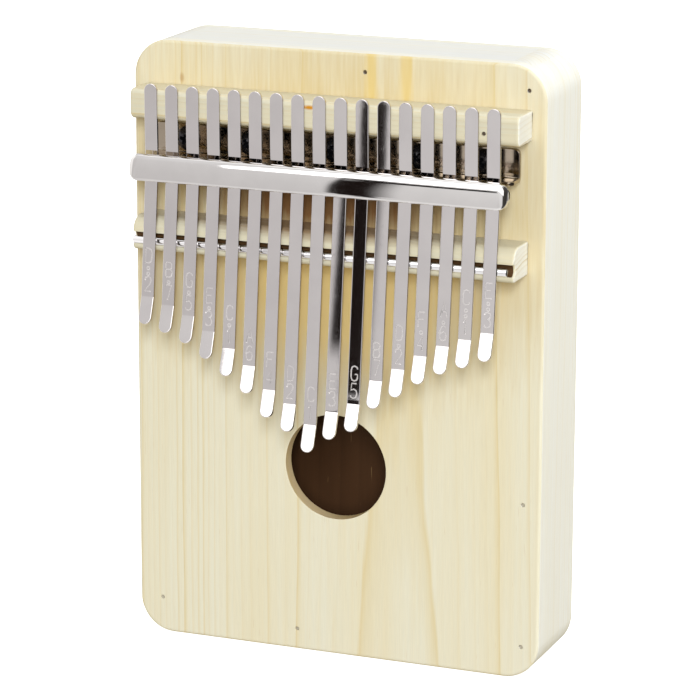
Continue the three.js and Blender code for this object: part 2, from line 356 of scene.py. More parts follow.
def turned(name, place_at, axis, pairs, material, sides, thread=(1, 0, 1, 0), sharp=35):
    """A turned body. pairs are (radius, along).

    thread is (from, to, pitch, depth). With from beyond to, as by default, there is none.
    """
    first, last, pitch, groove_depth = thread
    along_axis = Vector(axis)
    side_axis = along_axis.orthogonal().normalized()
    third_axis = along_axis.cross(side_axis)
    stations = []
    for (r0, d0), (r1, d1) in zip(pairs, pairs[1:]):
        steps = 1
        if first <= d0 < d1 <= last + 1e-6:
            steps = max(1, ceil((d1 - d0) / (pitch / 8)))
        for i in range(steps):
            t = i / steps
            stations.append((r0 + (r1 - r0) * t, d0 + (d1 - d0) * t))
    stations.append(pairs[-1])
    origin = Vector(place_at)
    points, rings = [], []
    for radius, along in stations:
        if radius < 1e-6:
            rings.append([len(points)] * sides)
            points.append(origin + along_axis * along)
            continue
        ring = []
        for i in range(sides):
            angle = 2 * pi * i / sides
            r = radius
            if first <= along <= last:
                phase = (along / pitch - i / sides) % 1
                fade = min(1, (along - first) / pitch, max(0, last - along) / pitch)
                r -= groove_depth * fade * (1 - abs(2 * phase - 1)) * min(1, radius / pairs[1][0])
            ring.append(len(points))
            spoke = side_axis * cos(angle) + third_axis * sin(angle)
            points.append(origin + along_axis * along + spoke * r)
        rings.append(ring)
    # A point repeated at a pointed end is dropped, which leaves a triangle.
    faces = [tuple(dict.fromkeys(quad)) for quad in bridged(rings)]
    return to_object(name, points, faces, [material], sharp)


def rounded_path(corners, step, arc_steps=8):
    """Points along a polyline of (height, z, radius), with an arc at each inner corner."""
    out = [Vector(corners[0][:2])]
    for before, (height, z, radius), after in zip(corners, corners[1:], corners[2:]):
        bow = corner_arc(before[:2], Vector((height, z)), after[:2], radius, arc_steps)
        out += [Vector(point) for point in bow]
    out.append(Vector(corners[-1][:2]))
    dense = [out[0]]
    for before, after in zip(out, out[1:]):
        steps = max(1, ceil((after - before).length / step))
        dense += [before.lerp(after, (j + 1) / steps) for j in range(steps)]
    return dense


class Path:
    """A line in height and z with a thickness direction, measured by its length."""

    def __init__(self, corners, step=1.2):
        self.points = rounded_path(corners, step)
        self.marks = [0.0]
        for before, after in zip(self.points, self.points[1:]):
            self.marks.append(self.marks[-1] + (after - before).length)
        self.length = self.marks[-1]
        self.normals = []
        last = len(self.points) - 1
        for i in range(last + 1):
            along = (self.points[min(i + 1, last)] - self.points[max(i - 1, 0)]).normalized()
            self.normals.append(Vector((-along.y, along.x)))

    def at(self, s, t):
        """(height, z) at the length s and the distance t in front of the line."""
        i = 0
        while i < len(self.marks) - 2 and self.marks[i + 1] < s:
            i += 1
        part = (s - self.marks[i]) / (self.marks[i + 1] - self.marks[i])
        point = self.points[i].lerp(self.points[i + 1], part)
        normal = self.normals[i].lerp(self.normals[i + 1], part).normalized()
        return point + normal * t


def strip(name, path, half, end_radius, thick, ease, materials):
    """A flat strip with rounded ends and eased edges, in (x, s, t), before it is bent."""
    length = path.length
    stations = [s for s in path.marks if end_radius + 0.2 < s < length - end_radius - 0.2]
    stations = [end_radius] + stations + [length - end_radius]
    turns = 8
    rings = []
    sections = [(d, thick - depth) for d, depth in easing(ease, 3)]
    sections += [(d, depth) for d, depth in reversed(easing(ease, 3))]
    points = []
    for amount, t in sections:
        radius = end_radius - amount
        edge = half - amount
        bow = []
        for i in range(turns):
            angle = pi / 2 * i / turns
            bow.append((edge - radius + radius * sin(angle), radius * cos(angle)))
        right = [(x, end_radius - reach) for x, reach in bow]
        right += [(edge, s) for s in stations]
        right += [(x, length - end_radius + reach) for x, reach in reversed(bow)]
        start = len(points)
        count = len(right)
        points += [(x, s, t) for x, s in right]
        points += [(-x, s, t) for x, s in right]
        ring = list(range(start, start + count))
        ring += list(range(start + 2 * count - 1, start + count - 1, -1))
        rings.append(ring)
    faces = bridged(rings)
    for ring, way in ((rings[0], 1), (rings[-1], -1)):
        left = ring[:count - 1:-1]
        for i in range(count - 1):
            faces.append((ring[i], ring[i + 1], left[i + 1], left[i])[::way])
    return to_object(name, points, faces, materials, 40)


def bend(made, path, x):
    """Bends a flat strip onto its path, at x across the instrument, in metres."""
    for vertex in made.data.vertices:
        height, z = path.at(vertex.co.y, vertex.co.z)
        vertex.co = Vector((x + vertex.co.x, FRONT - height, z)) * MM
    made.data.update()


# ---- Materials ----


class Nodes:
    """A node tree whose nodes are added and linked in one call each."""

    def __init__(self, tree):
        self.tree = tree

    def feed(self, node, key, value):
        """Links a socket to an input, or sets the input to a value."""
        if isinstance(value, bpy.types.NodeSocket):
            self.tree.links.new(value, node.inputs[key])
        else:
            node.inputs[key].default_value = value

    def add(self, kind, inputs=None, **settings):
        made = self.tree.nodes.new(kind)
        for key, value in settings.items():
            setattr(made, key, value)
        for key, value in (inputs or {}).items():
            self.feed(made, key, value)
        return made

    def math(self, operation, a, b=0.0):
        return self.add("ShaderNodeMath", {0: a, 1: b}, operation=operation).outputs[0]

    def spread(self, value, low, high, to_low=0.0, to_high=1.0, kind="LINEAR"):
        limits = {"From Min": low, "From Max": high, "To Min": to_low, "To Max": to_high}
        made = self.add("ShaderNodeMapRange", {"Value": value, **limits}, interpolation_type=kind)
        return made.outputs[0]

    def ramp(self, value, stops):
        made = self.add("ShaderNodeValToRGB", {"Fac": value})
        elements = made.color_ramp.elements
        while len(elements) < len(stops):
            elements.new(0.5)
        for element, (position, colour) in zip(elements, stops):
            element.position = position
            element.color = (*colour, 1)
        return made.outputs[0]

    def mix(self, factor, a, b, blend="MIX"):
        a, b = [(*value, 1) if isinstance(value, tuple) else value for value in (a, b)]
        inputs = {0: factor, 6: a, 7: b}
        return self.add("ShaderNodeMix", inputs, data_type="RGBA", blend_type=blend).outputs[2]

    def vector(self, *parts):
        return self.add("ShaderNodeCombineXYZ", dict(enumerate(parts))).outputs[0]

    def split(self, vector):
        return self.add("ShaderNodeSeparateXYZ", {0: vector}).outputs

    def vector_math(self, operation, inputs, output="Vector"):
        return self.add("ShaderNodeVectorMath", inputs, operation=operation).outputs[output]


class Shader(Nodes):
    """A surface material, drawn in the object's own coordinates."""

    def __init__(self, name):
        self.material = bpy.data.materials.new(name)
        self.material.use_nodes = True
        super().__init__(self.material.node_tree)
        self.surface = self.tree.nodes["Principled BSDF"]
        self.coordinates = self.add("ShaderNodeTexCoord").outputs["Object"]

    def placed(self, location=(0, 0, 0), rotation=(0, 0, 0), scale=(1, 1, 1), vector=None):
        turn = tuple(radians(angle) for angle in rotation)
        settings = {"Location": location, "Rotation": turn, "Scale": scale}
        start = vector or self.coordinates
        return self.add("ShaderNodeMapping", {"Vector": start, **settings}).outputs[0]

    def noise(self, vector, scale=1.0, detail=2.0, roughness=0.5, colour=False):
        inputs = {"Vector": vector, "Scale": scale, "Detail": detail, "Roughness": roughness}
        return self.add("ShaderNodeTexNoise", inputs).outputs["Color" if colour else "Fac"]

    def stretched(self, vector, scale, **options):
        """Noise with a scale for each axis, for grain and brush marks."""
        return self.noise(self.placed(scale=scale, vector=vector), **options)

    def finish(self, colour, roughness, bump, distance, strength):
        relief = {"Height": bump, "Distance": distance * MM, "Strength": strength}
        self.feed(self.surface, "Base Color", colour)
        self.feed(self.surface, "Roughness", roughness)
        self.feed(self.surface, "Normal", self.add("ShaderNodeBump", relief).outputs[0])
        return self.material


def srgb(r, g, b):
    """A colour given as 0-255 screen values, in the linear values shaders take."""
    out = []
    for value in (r, g, b):
        value /= 255
        out.append(value / 12.92 if value <= 0.04045 else ((value + 0.055) / 1.055) ** 2.4)
    return tuple(out)


def pine(name, log, tones, contrast, across=False, stains_and_shade=(), seed=0.0, wander=5.0):
    """Planed pine, pale wood with late rings and honey patches in the three tones.

    log is where the log's pith passes (x and y, mm), its tilt (degrees) and the rings' spacing (mm).
    across turns the grain from upright to along X. seed slides the cut along the log.
    stains_and_shade are soft tints, real stains and painted shade alike: x, z, half width and half
    height (mm), colour and strength.
    """
    (pith_x, pith_y), (tilt_x, tilt_y), spacing = log
    pale, late, honey = tones
    wood = Shader(name)
    turn = (0, 90, 0) if across else (0, 0, 0)
    upright = wood.placed(rotation=turn, scale=(1000, 1000, 1000))
    grain = wood.placed(location=(-pith_x, -pith_y, seed), rotation=(tilt_x, tilt_y, 0), vector=upright)

    sway = wood.stretched(grain, (0.03, 0.03, 0.008), detail=2, colour=True)
    sway = wood.vector_math("SUBTRACT", {0: sway, 1: (0.5, 0.5, 0.5)})
    sway = wood.vector_math("SCALE", {0: sway, "Scale": wander})
    moved = wood.vector_math("ADD", {0: grain, 1: sway})
    flat = wood.vector_math("MULTIPLY", {0: moved, 1: (1, 1, 0)})
    radius = wood.vector_math("LENGTH", {0: flat}, "Value")
    shiver = wood.stretched(grain, (0.5, 0.5, 0.02), detail=3)
    radius = wood.math("ADD", radius, wood.spread(shiver, 0, 1, -0.25, 0.25))
    uneven = wood.noise(wood.vector(radius), 0.11)
    rings = wood.math("DIVIDE", radius, spacing)
    rings = wood.math("ADD", rings, wood.spread(uneven, 0, 1, -1.4, 1.4))
    within = wood.math("FRACT", rings)
    which = wood.math("FLOOR", rings)
    dice = wood.add("ShaderNodeTexWhiteNoise", {"W": which}, noise_dimensions="1D").outputs["Value"]
    strength = wood.math("ADD", wood.math("POWER", dice, 2.2), 0.14)
    darkness = [(0.0, 0.0), (0.5, 0.08), (0.8, 0.5), (0.92, 1.0), (1.0, 0.0)]
    latewood = wood.ramp(within, [(position, (value,) * 3) for position, value in darkness])
    mask = wood.math("MULTIPLY", latewood, strength)
    mask = wood.math("MULTIPLY", mask, contrast)

    cloud = wood.spread(wood.stretched(grain, (0.07, 0.07, 0.006), detail=2), 0.42, 0.72, 0, 0.5)
    fibre = wood.stretched(grain, (5, 5, 0.12), detail=4, roughness=0.6)
    streak = wood.spread(wood.stretched(grain, (0.9, 0.9, 0.015), detail=3), 0.35, 0.7, 0, 0.3)
    flecks = wood.spread(wood.stretched(grain, (2.2, 2.2, 0.16), detail=1), 0.73, 0.8, 0, 0.22)
    shadow = wood.spread(fibre, 0.3, 0.7, 0.955, 1.02)
    colour = wood.mix(cloud, pale, honey)
    colour = wood.mix(mask, colour, late)
    colour = wood.mix(streak, colour, honey)
    colour = wood.mix(1.0, colour, wood.vector(shadow, shadow, shadow), "MULTIPLY")
    colour = wood.mix(flecks, colour, FLECK)
    # Soft tints: real stains and streaks, and painted shade where the wood lies under bars and keys.
    for x, z, width, height, tint, amount in stains_and_shade:
        here = (-x / width, 0, -z / height)
        centre = wood.placed(location=here, scale=(1000 / width, 0, 1000 / height))
        away = wood.vector_math("LENGTH", {0: centre}, "Value")
        ripple = wood.stretched(upright, (0.9, 0.9, 0.06), detail=2)
        away = wood.math("ADD", away, wood.spread(ripple, 0, 1, -0.25, 0.25))
        colour = wood.mix(wood.spread(away, 1.0, 0.35, 0, amount), colour, tint)

    rough = wood.spread(fibre, 0.25, 0.75, 0.54, 0.68)
    relief = wood.math("ADD", fibre, wood.math("MULTIPLY", mask, -0.5))
    wood.surface.inputs["Specular IOR Level"].default_value = 0.22
    return wood.finish(colour, rough, relief, distance=0.05, strength=0.35)


def metal(name, tint, second, roughness, brushed, streaks, smears=0.02, metallic=1.0):
    """Plated or plain metal with fine polishing marks, whose scale on each axis is brushed."""
    shader = Shader(name)
    upright = shader.placed(scale=(1000, 1000, 1000))
    marks = shader.stretched(upright, brushed, detail=4, roughness=0.65)
    cloud = shader.noise(upright, scale=0.09, detail=3)
    smudge = shader.noise(upright, scale=0.6, detail=3)
    colour = shader.mix(shader.spread(cloud, 0.35, 0.65), tint, second)
    rough = shader.math("ADD", shader.spread(marks, 0.3, 0.7, -streaks, streaks), roughness)
    rough = shader.math("ADD", rough, shader.spread(smudge, 0.55, 0.8, 0, smears))
    shader.surface.inputs["Metallic"].default_value = metallic
    return shader.finish(colour, rough, marks, distance=0.0004, strength=0.2)


PALE = srgb(240, 238, 227)
BAR_PALE = srgb(214, 207, 181)
FACE_PALE = srgb(230, 224, 200)
TOP_PALE = srgb(230, 229, 223)
LATE = srgb(216, 190, 122)
PALE_LATE = srgb(231, 219, 184)
HONEY = srgb(228, 213, 172)
PALE_HONEY = srgb(238, 231, 208)
RESIN = srgb(206, 138, 36)
FLECK = srgb(196, 160, 104)
FACE_TONES = (FACE_PALE, LATE, HONEY)
SIDE_TONES = (PALE, PALE_LATE, PALE_HONEY)

BOARD_LOG = ((20, 62), (0.5, 0.3), 1.35)
REST_LOG = ((-178, -2), (0.3, 0.2), 1.5)
BRIDGE_LOG = ((-140, -6), (0.3, -0.2), 1.7)

# Tints on the soundboard's face: stains, streaks and a knot mark, and painted shade around the bars and
# keys.
FACE_STAINS_AND_PAINTED_SHADE = [
    # A golden tint over the upper face: partly the wood's own tone, partly painted shade around the
    # bars.
    (0, 140, 100, 66, srgb(204, 178, 118), 0.8),
    (11, 180, 2.6, 24, srgb(222, 190, 100), 0.6),
    (22, 180, 3.0, 22, srgb(226, 192, 96), 0.5),
    # A golden tint between the lower keys: painted shade, standing in for the warm dim light in the
    # keys' gaps.
    (0, 110, 52, 28, srgb(242, 212, 138), 0.75),
    # A brown band under the press bar: painted shadow of the press bar and the keys.
    (-3, 139.2, 50, 10, srgb(134, 92, 52), 0.95),
    (-49.4, 174.0, 0.9, 1.9, srgb(176, 134, 84), 0.6),
]
REST_SPOTS = [(-3.4, 170.3, 2.2, 0.8, RESIN, 1.0), (46.8, 170.3, 2.2, 0.8, RESIN, 1.0)]
# Painted shade along the bridge bar's rounded top, under the keys.
BRIDGE_PAINTED_SHADE = [(-3, 134.8, 54, 4.2, srgb(150, 112, 70), 0.85)]

face_pine = pine("pine_soundboard", BOARD_LOG, FACE_TONES, 0.62, stains_and_shade=FACE_STAINS_AND_PAINTED_SHADE, wander=1.6)
back_pine = pine("pine_back", ((-12, 70), (-1.1, 0.6), 3.1), FACE_TONES, 0.6, seed=40)
right_pine = pine("pine_right_rail", ((52, -34), (0.5, 0.3), 2.2), SIDE_TONES, 0.4, seed=90)
left_pine = pine("pine_left_rail", ((-50, 40), (0.4, -0.5), 2.4), SIDE_TONES, 0.4, seed=130)
edge_pine = pine("pine_edge", BOARD_LOG, SIDE_TONES, 0.45, wander=1.6)
# The sound hole's wall is darker and warmer than the face: painted shade on the wall.
hole_shade_tones = (srgb(222, 198, 152), LATE, srgb(212, 182, 128))
hole_wall_painted_shade = pine("pine_hole_wall_painted_shade", BOARD_LOG, hole_shade_tones, 0.6)
cut_tones = (TOP_PALE, srgb(218, 204, 168), PALE_HONEY)
cut_pine = pine("pine_end_grain", ((46, -22), (0.5, 0.3), 1.5), cut_tones, 0.95, seed=90)
end_tones = (TOP_PALE, PALE_LATE, srgb(239, 236, 222))
end_pine = pine("pine_end_rail", ((170, -30), (0.4, 0.3), 2.3), end_tones, 0.4, True, seed=60)
rest_tones = (BAR_PALE, srgb(206, 180, 122), HONEY)
rest_pine = pine("pine_rest_bar", REST_LOG, rest_tones, 0.9, True, REST_SPOTS, seed=20)
bridge_tones = (BAR_PALE, srgb(216, 194, 142), HONEY)
bridge_pine = pine("pine_bridge_bar", BRIDGE_LOG, bridge_tones, 0.55, True, BRIDGE_PAINTED_SHADE, seed=75)
bar_end_tones = (srgb(236, 233, 220), srgb(206, 186, 138), PALE_HONEY)
bar_end_pine = pine("pine_bar_end", REST_LOG, bar_end_tones, 1.0, True, seed=20)
# The box's inner faces are dark brown: painted shade inside the closed box, not the pine's own colour.
inside_shade_tones = (srgb(74, 48, 28), srgb(52, 32, 18), srgb(64, 41, 23))
inside_pine_painted_shade = pine("pine_inside_painted_shade", ((5, 40), (0.8, 0.4), 3.0), inside_shade_tones, 0.5)
# The rod's groove is dark brown: painted shade in the gap between the rod and the bridge bar.
groove_shade_tones = (srgb(96, 68, 40), srgb(60, 40, 22), srgb(78, 54, 30))
groove_painted_shade = pine("pine_groove_painted_shade", BRIDGE_LOG, groove_shade_tones, 0.5, True)

UPWARDS_BRUSH = (6, 6, 0.12)
SIDEWAYS_BRUSH = (0.15, 5, 5)
EVEN_BRUSH = (3, 3, 3)
nickel_tones = ((0.73, 0.702, 0.7), (0.77, 0.742, 0.737))
nickel = metal("nickel_plate", *nickel_tones, 0.022, UPWARDS_BRUSH, 0.004, 0.012)
chrome_tones = ((0.79, 0.775, 0.765), (0.84, 0.825, 0.815))
chrome = metal("chrome_plate", *chrome_tones, 0.024, SIDEWAYS_BRUSH, 0.004, 0.012)
rod_steel = metal("rod_plate", (0.8, 0.79, 0.8), (0.86, 0.85, 0.86), 0.08, SIDEWAYS_BRUSH, 0.03)
# The bracket's chrome is tinted brown: painted reflection of the shaded wood and keys around it.
bracket_plate_painted_reflection = metal("bracket_plate_painted_reflection", (0.46, 0.39, 0.3), (0.54, 0.46, 0.36), 0.1, SIDEWAYS_BRUSH, 0.03)
engraving = metal("stamped_mark", (0.88, 0.86, 0.85), (0.93, 0.91, 0.9), 0.2, EVEN_BRUSH, 0.05)
black_tones = ((0.02, 0.02, 0.023), (0.045, 0.042, 0.045))
black_steel = metal("black_oxide", *black_tones, 0.24, (2, 2, 2), 0.08, metallic=0.85)
screw_steel = metal("screw_steel", (0.48, 0.47, 0.47), (0.58, 0.57, 0.56), 0.3, EVEN_BRUSH, 0.1)
brad_tones = ((0.1, 0.075, 0.05), (0.16, 0.12, 0.09))
brad_steel = metal("brad_steel", *brad_tones, 0.55, EVEN_BRUSH, 0.1, metallic=0.8)
filler_tones = (srgb(188, 180, 160), srgb(176, 166, 146))
brad_filler = metal("brad_filler", *filler_tones, 0.6, EVEN_BRUSH, 0.1, metallic=0.1)


# ---- The box ----

plan = rectangle(BOARD_LOW, BOARD_HIGH, (CORNER,) * 4)
board_holes = circles([SOUND_HOLE], SOUND_HOLE_RADIUS, 112)
board_holes += circles(FRONT_BRADS, BRAD_HOLE, 16)
board_holes += circles(PRESS_SCREWS, PRESS_SCREW_HOLE, 16)
board_holes += circles(BRACKET_SCREWS, BRACKET_SCREW_HOLE, 20)
soundboard = slab(
    "soundboard_panel", plan, board_holes, FRONT, INNER_FRONT, (EDGE, SEAM), frontal,
    [face_pine, inside_pine_painted_shade, edge_pine, hole_wall_painted_shade],
)
back_panel = slab(
    "back_board", plan, circles(BACK_BRADS, BRAD_HOLE, 16), INNER_BACK, BACK, (SEAM, EDGE), frontal,
    [back_pine, inside_pine_painted_shade, edge_pine],
)


def rail(name, loop, materials):
    """A board between the soundboard and the back panel."""
    return slab(name, loop, [], INNER_FRONT, INNER_BACK, (SEAM, SEAM), frontal, materials)


right_loop = rectangle(RAIL_LOW, RAIL_HIGH, (0, CORNER, CORNER, 0))
left_loop = [(-a, b) for a, b in reversed(right_loop)]
right_rail = rail("rail_right", right_loop, [right_pine, inside_pine_painted_shade, cut_pine])
left_rail = rail("rail_left", left_loop, [left_pine, inside_pine_painted_shade, cut_pine])
end_materials = [end_pine, inside_pine_painted_shade]
upper_rail = rail("rail_top", rectangle(TOP_RAIL_LOW, TOP_RAIL_HIGH), end_materials)
lower_rail = rail("rail_bottom", rectangle(BOTTOM_RAIL_LOW, BOTTOM_RAIL_HIGH), end_materials)
block = slab(
    "block_inside", rectangle(BLOCK_LOW, BLOCK_HIGH), circles(PRESS_SCREWS, PRESS_SCREW_HOLE, 16),
    BLOCK_LOW.y, BLOCK_HIGH.y, (0.4, 0.4), frontal, [inside_pine_painted_shade],
)


def on_rim(face):
    """Whether a panel's face is on its outer edge, not on the wide faces or in a hole."""
    half = BOARD_HIGH.z / 2
    x, z = face.center.x, face.center.z - half
    near_edge = abs(x) > BOARD_HIGH.x - CORNER or abs(z) > half - CORNER
    return abs(face.normal.y) < 0.5 and face.normal.dot(Vector((x, 0, z))) > 0 and near_edge


def in_sound_hole(face):
    reach = Vector((face.center.x, face.center.z - SOUND_HOLE.z)).length
    return abs(face.normal.y) < 0.5 and reach < SOUND_HOLE_RADIUS + 1


def on_rail_end(face):
    """Whether a side rail's face is at the top or bottom of the box, where end grain shows."""
    return abs(face.normal.z) > 0.9 and abs(face.center.x) < BOARD_HIGH.x - CORNER / 2


def on_bar_end(face):
    return abs(face.normal.x) > 0.6


give(soundboard, 1, lambda face: face.normal.y > 0.9)
give(soundboard, 2, on_rim)
give(soundboard, 3, in_sound_hole)
give(back_panel, 1, lambda face: face.normal.y < -0.9)
give(back_panel, 2, on_rim)
give(right_rail, 1, lambda face: face.normal.x < -0.9)
give(right_rail, 2, on_rail_end)
give(left_rail, 1, lambda face: face.normal.x > 0.9)
give(left_rail, 2, on_rail_end)
give(upper_rail, 1, lambda face: face.normal.z < -0.9)
give(lower_rail, 1, lambda face: face.normal.z > 0.9)

for made, node, slot in (
    (soundboard, "soundboard", "soundboard_pine"),
    (back_panel, "back_panel", "soundboard_pine"),
    (right_rail, "side_rail_right", "rail_pine"),
    (left_rail, "side_rail_left", "rail_pine"),
    (upper_rail, "top_rail", "rail_pine"),
    (lower_rail, "bottom_rail", "rail_pine"),
    (block, "clamp_block", "rail_pine"),
):
    finish_wood(made, node)


# ---- Brads ----

BRAD_SINK = 0.3
BRAD_PROFILE = [(0, 0.22), (0.2, 0.16), (0.45, 0.05), (0.55, 0.12), (0.55, 0.7), (0.45, 0.85)]
BRAD_PROFILE += [(0.45, 13), (0, 15)]

# Places, names, nodes, the surface's y, and 1 for brads driven from the front or -1 from behind.
BRADS = [
    (FRONT_BRADS, "brad_front", "soundboard_brad", FRONT, 1),
    (BACK_BRADS, "brad_back", "back_panel_brad", BACK, -1),
    (REST_BRADS, "brad_rest", "rest_bar_brad", REST_LOW.y, 1),
]

for places, name, node, surface, way in BRADS:
    for i, centre in enumerate(places, 1):
        filled = places is FRONT_BRADS and centre.z < REST_LOW.z
        material = brad_filler if filled else brad_steel
        head = (centre.x, surface + way * BRAD_SINK, centre.z)
        made = in_metres(turned(f"{name}_{i}", head, (0, way, 0), BRAD_PROFILE, material, 20))
        place(made, "box", f"{node}_{i}")


# ---- Wooden bars and the rod ----


def bar_section(low, high, front_low, front_high, steps):
    """A bar's section in height and z. The two numbers are its front corners' radii."""
    height = FRONT - low.y
    corners = [(0, low.z, 0), (height, low.z, front_low), (height, high.z, front_high)]
    return rounded([*corners, (0, high.z, 0.3)], steps)


def brad_hole(centre):
    start, end = REST_LOW.y - 1, REST_LOW.y + 1.2
    pairs = [(0, start), (BRAD_HOLE, start), (BRAD_HOLE, end), (0, end)]
    return turned("bore", (centre.x, 0, centre.z), (0, 1, 0), pairs, rest_pine, 24)


rest_bar = slab(
    "rest_bar", bar_section(REST_LOW, REST_HIGH, 2.0, 1.8, 8), [], REST_LOW.x, REST_HIGH.x, (0.7, 0.7),
    lengthwise, [rest_pine, bar_end_pine],
)
give(rest_bar, 1, on_bar_end)
cut(rest_bar, [brad_hole(centre) for centre in REST_BRADS])
shade(rest_bar.data, 32)

GROOVE_Z = ROD_Z + 0.52
GROOVE_RADIUS = ROD_RADIUS + 0.6
bridge_outline = bar_section(BRIDGE_LOW, BRIDGE_HIGH, 1.5, 4.5, 10)
bridge_section = [p for p in bridge_outline if p[1] < ROD_Z]
bridge_section += arc((FRONT - BRIDGE_LOW.y, GROOVE_Z), GROOVE_RADIUS, 270, 90, 16)
bridge_section += [p for p in bridge_outline if p[1] > GROOVE_Z + GROOVE_RADIUS]
bridge = slab(
    "bridge_wood", bridge_section, [], BRIDGE_LOW.x, BRIDGE_HIGH.x, (0.6, 0.6), lengthwise,
    [bridge_pine, groove_painted_shade, bar_end_pine],
)


def in_groove(face):
    reach = hypot(face.center.y - BRIDGE_LOW.y, face.center.z - GROOVE_Z)
    return abs(face.normal.x) < 0.5 and reach < GROOVE_RADIUS


give(bridge, 2, on_bar_end)
give(bridge, 1, in_groove)

finish_wood(rest_bar, "rear_rest_bar")
finish_wood(bridge, "bridge_bar")

rod_length = ROD_HIGH.x - ROD_LOW.x
rod_end = [(ROD_RADIUS - 0.4, 0), (ROD_RADIUS - 0.15, 0.08), (ROD_RADIUS, 0.35)]
rod_profile = [(0, 0), *rod_end]
rod_profile += [(radius, rod_length - along) for radius, along in reversed(rod_end)]
rod_profile += [(0, rod_length)]
rod_start = (ROD_LOW.x, FRONT - ROD_HEIGHT, ROD_Z)
rod = in_metres(turned("rod", rod_start, (1, 0, 0), rod_profile, rod_steel, 40, sharp=50))
place(rod, "box", "bridge_rod")


# ---- The clamp ----

bracket_lip = FRONT - BRACKET_LOW.y
bracket_corners = [(0, BRACKET_HIGH.z, 0), (0, BRACKET_LOW.z, 1.5), (bracket_lip, BRACKET_LOW.z, 0)]
bracket_path = Path(bracket_corners, 0.8)
bracket = strip(
    "bracket_plate_painted_reflection", bracket_path, BRACKET_HIGH.x, BRACKET_CORNER, BRACKET_THICK, BRACKET_EASE,
    [bracket_plate_painted_reflection],
)
for centre in BRACKET_SCREWS:
    pairs = [(0, -1), (BRACKET_HOLE, -1), (BRACKET_HOLE, 3), (0, 3)]
    hole_at = (centre.x, BRACKET_HIGH.z - centre.z, 0)
    cut(bracket, [turned("hole", hole_at, (0, 0, 1), pairs, chrome, 24)])
bend(bracket, bracket_path, 0)
shade(bracket.data, 40)
place(bracket, "box", "base_bracket")

BAR_BACK = 14.1
BAR_RIDGE = 13.0


def press_section():
    """The press bar's section in height and z: a flat back with a ridge, and a crowned face."""
    front = FRONT - PRESS_LOW.y
    low, high = PRESS_LOW.z, PRESS_HIGH.z
    crest = low + 1.0
    corners = [(BAR_BACK + 0.6, low, 0), (BAR_BACK, low, 0.35), (BAR_BACK, low + 1.5, 0.3)]
    corners += [(BAR_RIDGE, PRESSED_Z - 1.0, 0.25), (BAR_RIDGE, PRESSED_Z + 1.0, 0.25)]
    corners += [(BAR_BACK, high - 1.5, 0.3), (BAR_BACK, high, 0.3)]
    section = rounded(corners, 5)
    # The face leans back more and more from the crest to the brow, which is round.
    brow, least, most = 1.7, radians(5.9), radians(13.5)
    shoulder = high - brow * (1 - sin(most))
    face = [Vector((front, crest))]
    steps = 16
    rise = (shoulder - crest) / steps
    for i in range(steps):
        lean = least + (most - least) * ((i + 0.5) / steps) ** 1.5
        face.append(face[-1] + Vector((-rise * tan(lean), rise)))
    hub = face[-1] - brow * Vector((cos(most), sin(most)))
    for i in range(1, 11):
        lean = most + (pi / 2 - most) * i / 10
        face.append(hub + brow * Vector((cos(lean), sin(lean))))
    section += [tuple(point) for point in reversed(face)]
    for i in range(1, 9):
        angle = pi / 2 * i / 9
        section.append((front - 1.0 + cos(angle), crest - (crest - low) * sin(angle)))
    section.reverse()
    return section


def press_bar():
    """A crowned bar with a ridge behind it, narrowing to rounded ends."""
    section = press_section()
    count = len(section)
    middle = (PRESS_LOW.z + PRESS_HIGH.z) / 2
    half = (PRESS_HIGH.z - PRESS_LOW.z) / 2
    depth = FRONT - PRESS_LOW.y - BAR_BACK
    length = PRESS_HIGH.x - PRESS_LOW.x
    end_radius, nose, steps = 2.8, 1.5, 10
    tapered = []
    for i in range(steps + 1):
        angle = pi / 2 * i / steps
        along = end_radius * (1 - cos(angle))
        narrow = end_radius * (1 - sin(angle))
        fall = nose * (1 - sqrt(max(0, 1 - max(0, 1 - along / nose) ** 2)))
        tapered.append((along, (half - narrow) / half, (depth - fall) / depth))
    straight = length - 2 * end_radius
    stations = tapered + [(end_radius + straight * i / 24, 1, 1) for i in range(1, 24)]
    stations += [(length - along, wide, tall) for along, wide, tall in reversed(tapered)]
    points = []
    for along, wide, tall in stations:
        for height, z in section:
            y = FRONT - (BAR_BACK + (height - BAR_BACK) * tall)
            points.append((PRESS_LOW.x + along, y, middle + (z - middle) * wide))
    rings = [range(start, start + count) for start in range(0, len(points), count)]
    faces = bridged(rings)
    for ring in (rings[0], rings[-1]):
        outline = [Vector((height, points[k][2], 0)) for (height, z), k in zip(section, ring)]
        for triangle in tessellate_polygon([outline]):
            faces.append(tuple(ring[i] for i in triangle))
    return to_object("press_bar_plate", points, faces, [chrome], 38)


bar = in_metres(press_bar())
place(bar, "box", "press_bar")


def cross_cutter(x, surface, z, size, turn):
    """A tapered cross that runs from in front of a screw head into it."""
    points = []
    arm = 0.3
    plus = [(1, -arm), (1, arm), (arm, arm), (arm, 1), (-arm, 1), (-arm, arm)]
    plus += [(-1, arm), (-1, -arm), (-arm, -arm), (-arm, -1), (arm, -1), (arm, -arm)]
    c, s = cos(turn), sin(turn)
    for level, scale in ((-1.0, 1.25), (0.0, 1.0), (size, 0.35)):
        for a, b in plus:
            a, b = a * size * scale, b * size * scale
            points.append((x + a * c - b * s, surface + level, z + a * s + b * c))
    rings = [range(0, 12), range(12, 24), range(24, 36)]
    faces = bridged(rings) + [tuple(rings[0]), tuple(reversed(rings[-1]))]
    return to_object("cross", points, faces, [black_steel])


